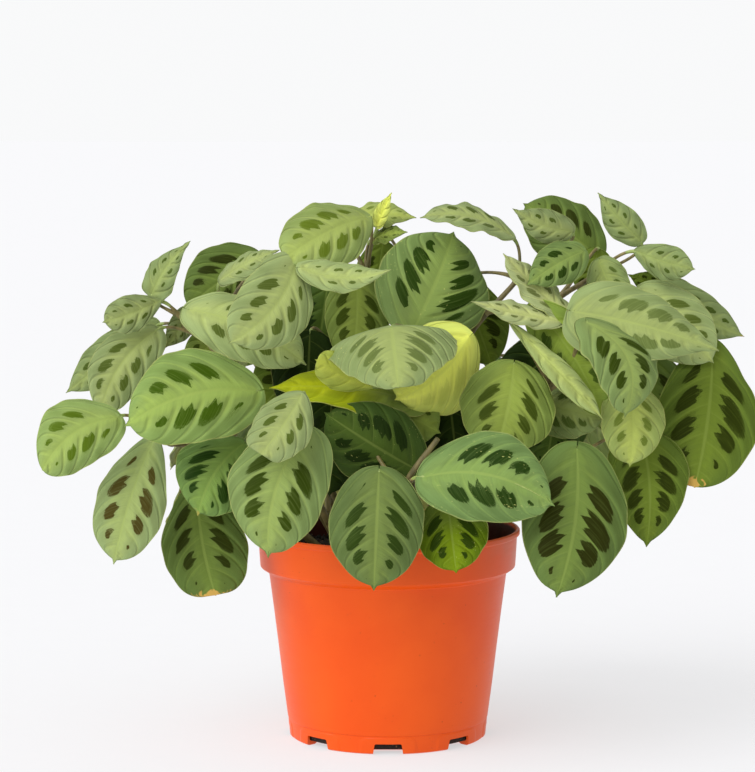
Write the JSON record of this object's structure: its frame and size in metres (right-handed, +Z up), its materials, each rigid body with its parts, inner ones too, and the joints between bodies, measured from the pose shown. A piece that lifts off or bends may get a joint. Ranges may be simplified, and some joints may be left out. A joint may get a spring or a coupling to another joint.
{
  "type": "potted prayer plant",
  "caption": "Bushy prayer plant whose oval patterned leaves spread on thin jointed stems from a round plastic nursery pot of soil, with drainage notches round its foot.",
  "frame": {"origin": "middle of the pot's flat underside", "axes": "+Z up, the plant's fullest side looks toward -Y, +X to the right as seen from there"},
  "size_m": [0.3928, 0.2692, 0.3085],
  "materials": {
    "pot_plastic": "satin moulded plastic, bright orange",
    "potting_soil": "rough, moist, crumbly",
    "foliage": "satin leaf, pale green with dark marks between the veins"
  },
  "bodies": {
    "root": {"pot": "pot_plastic", "soil": "potting_soil", "shoot_left_high": "foliage", "shoot_left_mid": "foliage", "shoot_left_crown": "foliage", "shoot_left_front": "foliage", "shoot_top_left": "foliage", "shoot_heart": "foliage", "shoot_front": "foliage", "shoot_right_high": "foliage", "shoot_right_crown": "foliage", "shoot_right_side": "foliage", "shoot_right_front": "foliage", "shoot_right_low": "foliage", "shoot_back_1": "foliage", "shoot_back_2": "foliage", "shoot_back_3": "foliage", "shoot_back_4": "foliage", "shoot_back_5": "foliage", "shoot_back_6": "foliage"}
  },
  "joints": []
}
